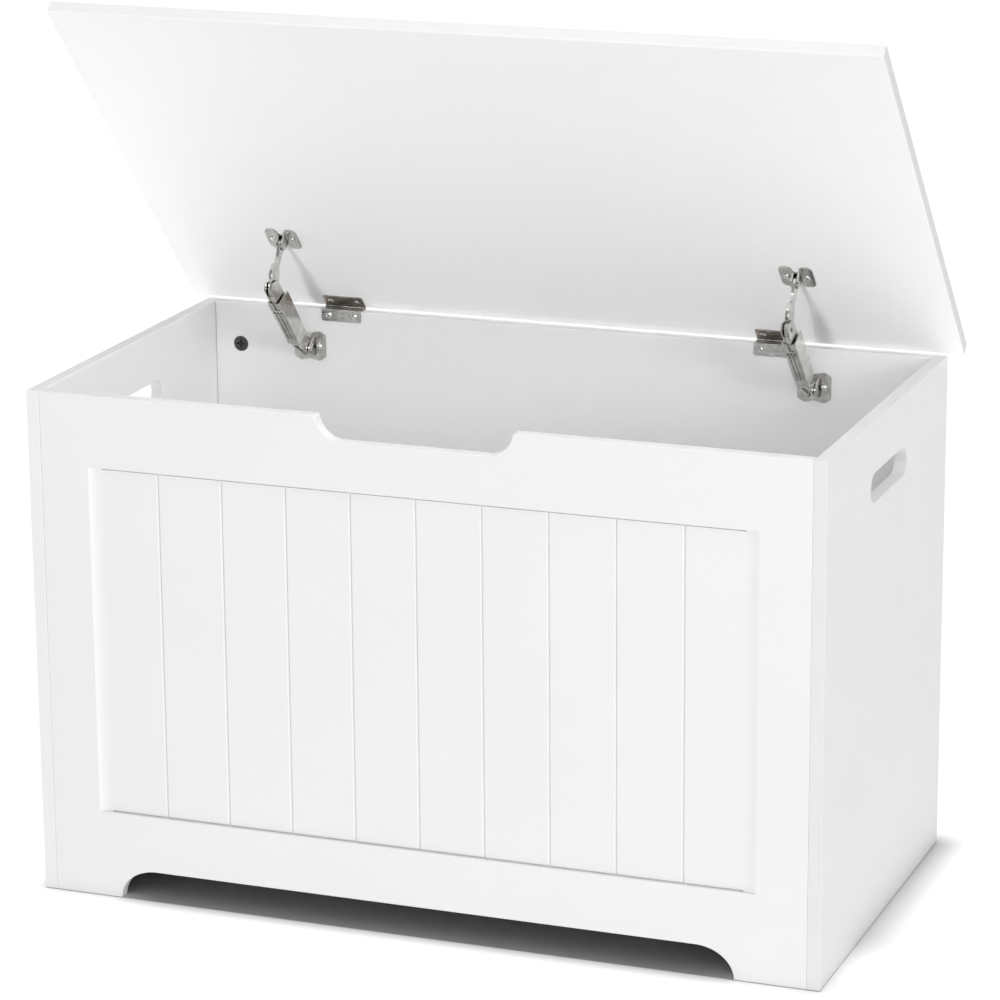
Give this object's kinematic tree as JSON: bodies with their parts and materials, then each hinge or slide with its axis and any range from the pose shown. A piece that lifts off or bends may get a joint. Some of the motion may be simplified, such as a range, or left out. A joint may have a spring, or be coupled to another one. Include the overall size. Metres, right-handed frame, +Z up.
{
  "type": "toy box",
  "caption": "White painted toy chest with a slatted front, hand slots, a finger notch and a hinged lid on two folding stays.",
  "frame": {"origin": "middle of the floor area that the chest covers with its lid part-way open, on the floor", "axes": "+X to the right seen from the front, +Y towards the back, +Z up"},
  "size_m": [0.76, 0.3942, 0.7913],
  "materials": {
    "painted_board": "satin white paint on MDF",
    "nickel_plate": "nickel plated",
    "stay_steel": "nickel plated",
    "rivet_steel": "nickel plated",
    "screw_steel": "bright zinc",
    "dark_zinc": "dark zinc casting",
    "fitting_steel": "plain steel",
    "beech": "bare beech",
    "spring_steel": "spring steel",
    "nylon": "natural nylon"
  },
  "bodies": {
    "box": {"left_side_panel": "painted_board", "right_side_panel": "painted_board", "front_panel": "painted_board", "back_panel": "painted_board", "bottom_panel": "painted_board", "left_hinge_body_leaf": "nickel_plate", "right_hinge_body_leaf": "nickel_plate", "left_hinge_pin": "nickel_plate", "right_hinge_pin": "nickel_plate", "hinge_body_screws": "screw_steel", "stay_body_screws": "screw_steel", "front_cam_locks": "dark_zinc", "back_cam_locks": "dark_zinc", "bottom_cam_locks": "dark_zinc", "cam_bolts": "fitting_steel", "dowels": "beech", "left_stay_body_bracket": "stay_steel", "right_stay_body_bracket": "stay_steel", "left_stay_lower_rivet": "rivet_steel", "right_stay_lower_rivet": "rivet_steel"},
    "lid": {"lid_panel": "painted_board", "left_hinge_lid_leaf": "nickel_plate", "right_hinge_lid_leaf": "nickel_plate", "hinge_lid_screws": "screw_steel", "stay_lid_screws": "screw_steel", "left_stay_lid_bracket": "stay_steel", "right_stay_lid_bracket": "stay_steel", "left_stay_upper_rivet": "rivet_steel", "right_stay_upper_rivet": "rivet_steel"},
    "left_stay_housing": {"left_stay_frame": "stay_steel", "left_stay_cover": "stay_steel", "left_stay_brake_shoe": "nylon", "left_stay_brake_spring": "spring_steel", "left_stay_elbow_rivet": "rivet_steel"},
    "left_stay_link": {"left_stay_arm": "stay_steel"},
    "right_stay_housing": {"right_stay_frame": "stay_steel", "right_stay_cover": "stay_steel", "right_stay_brake_shoe": "nylon", "right_stay_brake_spring": "spring_steel", "right_stay_elbow_rivet": "rivet_steel"},
    "right_stay_link": {"right_stay_arm": "stay_steel"}
  },
  "joints": [
    {"name": "lid_hinge", "type": "hinge", "parent": "box", "child": "lid", "pos_m": [0, 0.18644, 0.4666], "axis": [-1, 0, 0], "range_deg": [-47.5, 37.5]},
    {"name": "left_stay_lower_pivot", "type": "hinge", "parent": "box", "child": "left_stay_housing", "pos_m": [-0.2545, 0.16494, 0.429], "axis": [-1, 0, 0], "range_deg": [-48, 38]},
    {"name": "left_stay_elbow", "type": "hinge", "parent": "left_stay_housing", "child": "left_stay_link", "pos_m": [-0.2545, 0.08999, 0.50206], "axis": [-1, 0, 0], "range_deg": [-38, 48]},
    {"name": "right_stay_lower_pivot", "type": "hinge", "parent": "box", "child": "right_stay_housing", "pos_m": [0.244, 0.16494, 0.429], "axis": [-1, 0, 0], "range_deg": [-48, 38]},
    {"name": "right_stay_elbow", "type": "hinge", "parent": "right_stay_housing", "child": "right_stay_link", "pos_m": [0.244, 0.08999, 0.50206], "axis": [-1, 0, 0], "range_deg": [-38, 48]}
  ],
  "couplings": [
    {"joint": "left_stay_lower_pivot", "follows": "lid_hinge", "ratio": 1},
    {"joint": "left_stay_elbow", "follows": "lid_hinge", "ratio": -1},
    {"joint": "right_stay_lower_pivot", "follows": "lid_hinge", "ratio": 1},
    {"joint": "right_stay_elbow", "follows": "lid_hinge", "ratio": -1}
  ]
}
